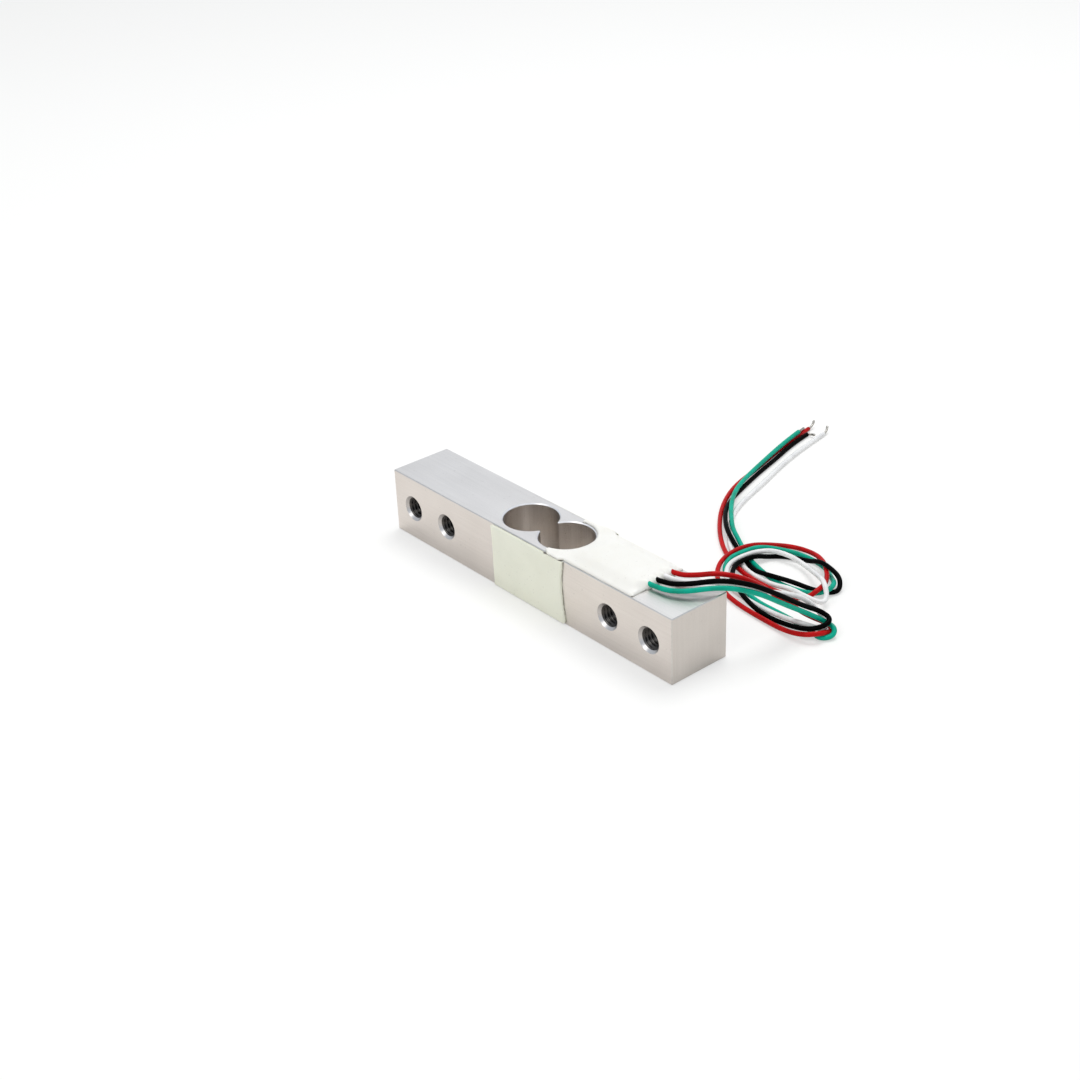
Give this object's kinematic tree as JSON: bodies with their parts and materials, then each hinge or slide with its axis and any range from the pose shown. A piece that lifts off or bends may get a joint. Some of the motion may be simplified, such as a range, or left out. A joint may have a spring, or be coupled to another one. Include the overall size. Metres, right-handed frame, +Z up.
{
  "type": "single point load cell",
  "caption": "Slim square aluminium single point load cell with a binocular hole, tapped mounting holes, silicone-sealed strain gauges and four loose bare-ended leads.",
  "frame": {"origin": "centre of the bar's underside, on the bench", "axes": "+X along the bar towards the end that the leads leave over, +Y from the front side to the back side along the tapped holes, +Z up along the binocular hole"},
  "size_m": [0.085, 0.0906, 0.0188],
  "materials": {
    "bar_aluminium": "satin, milled and clear anodised",
    "side_sealant": "satin, pale ivory silicone",
    "top_sealant": "satin, white silicone",
    "gauge_film": "amber polyimide",
    "gauge_foil": "constantan foil",
    "solder": "bright",
    "enamelled_wire": "enamel over copper",
    "board_laminate": "glass epoxy laminate",
    "pad_copper": "tinned copper",
    "tinned_strands": "tinned copper strands",
    "green_insulation": "teal green PVC",
    "black_insulation": "black PVC",
    "white_insulation": "white PVC",
    "red_insulation": "red PVC"
  },
  "bodies": {
    "root": {"beam": "bar_aluminium", "front_sealant": "side_sealant", "back_sealant": "side_sealant", "top_sealant": "top_sealant", "front_left_gauge_film": "gauge_film", "front_right_gauge_film": "gauge_film", "back_left_gauge_film": "gauge_film", "back_right_gauge_film": "gauge_film", "front_left_gauge_foil": "gauge_foil", "front_right_gauge_foil": "gauge_foil", "back_left_gauge_foil": "gauge_foil", "back_right_gauge_foil": "gauge_foil", "front_gauge_solder": "solder", "back_gauge_solder": "solder", "board_solder": "solder", "green_solder_joint": "solder", "black_solder_joint": "solder", "white_solder_joint": "solder", "red_solder_joint": "solder", "front_jumpers": "enamelled_wire", "back_jumpers": "enamelled_wire", "terminal_board": "board_laminate", "board_pads": "pad_copper", "green_near_end": "tinned_strands", "green_far_end": "tinned_strands", "black_near_end": "tinned_strands", "black_far_end": "tinned_strands", "white_near_end": "tinned_strands", "white_far_end": "tinned_strands", "red_near_end": "tinned_strands", "red_far_end": "tinned_strands", "green_lead": "green_insulation", "black_lead": "black_insulation", "white_lead": "white_insulation", "red_lead": "red_insulation"}
  },
  "joints": []
}
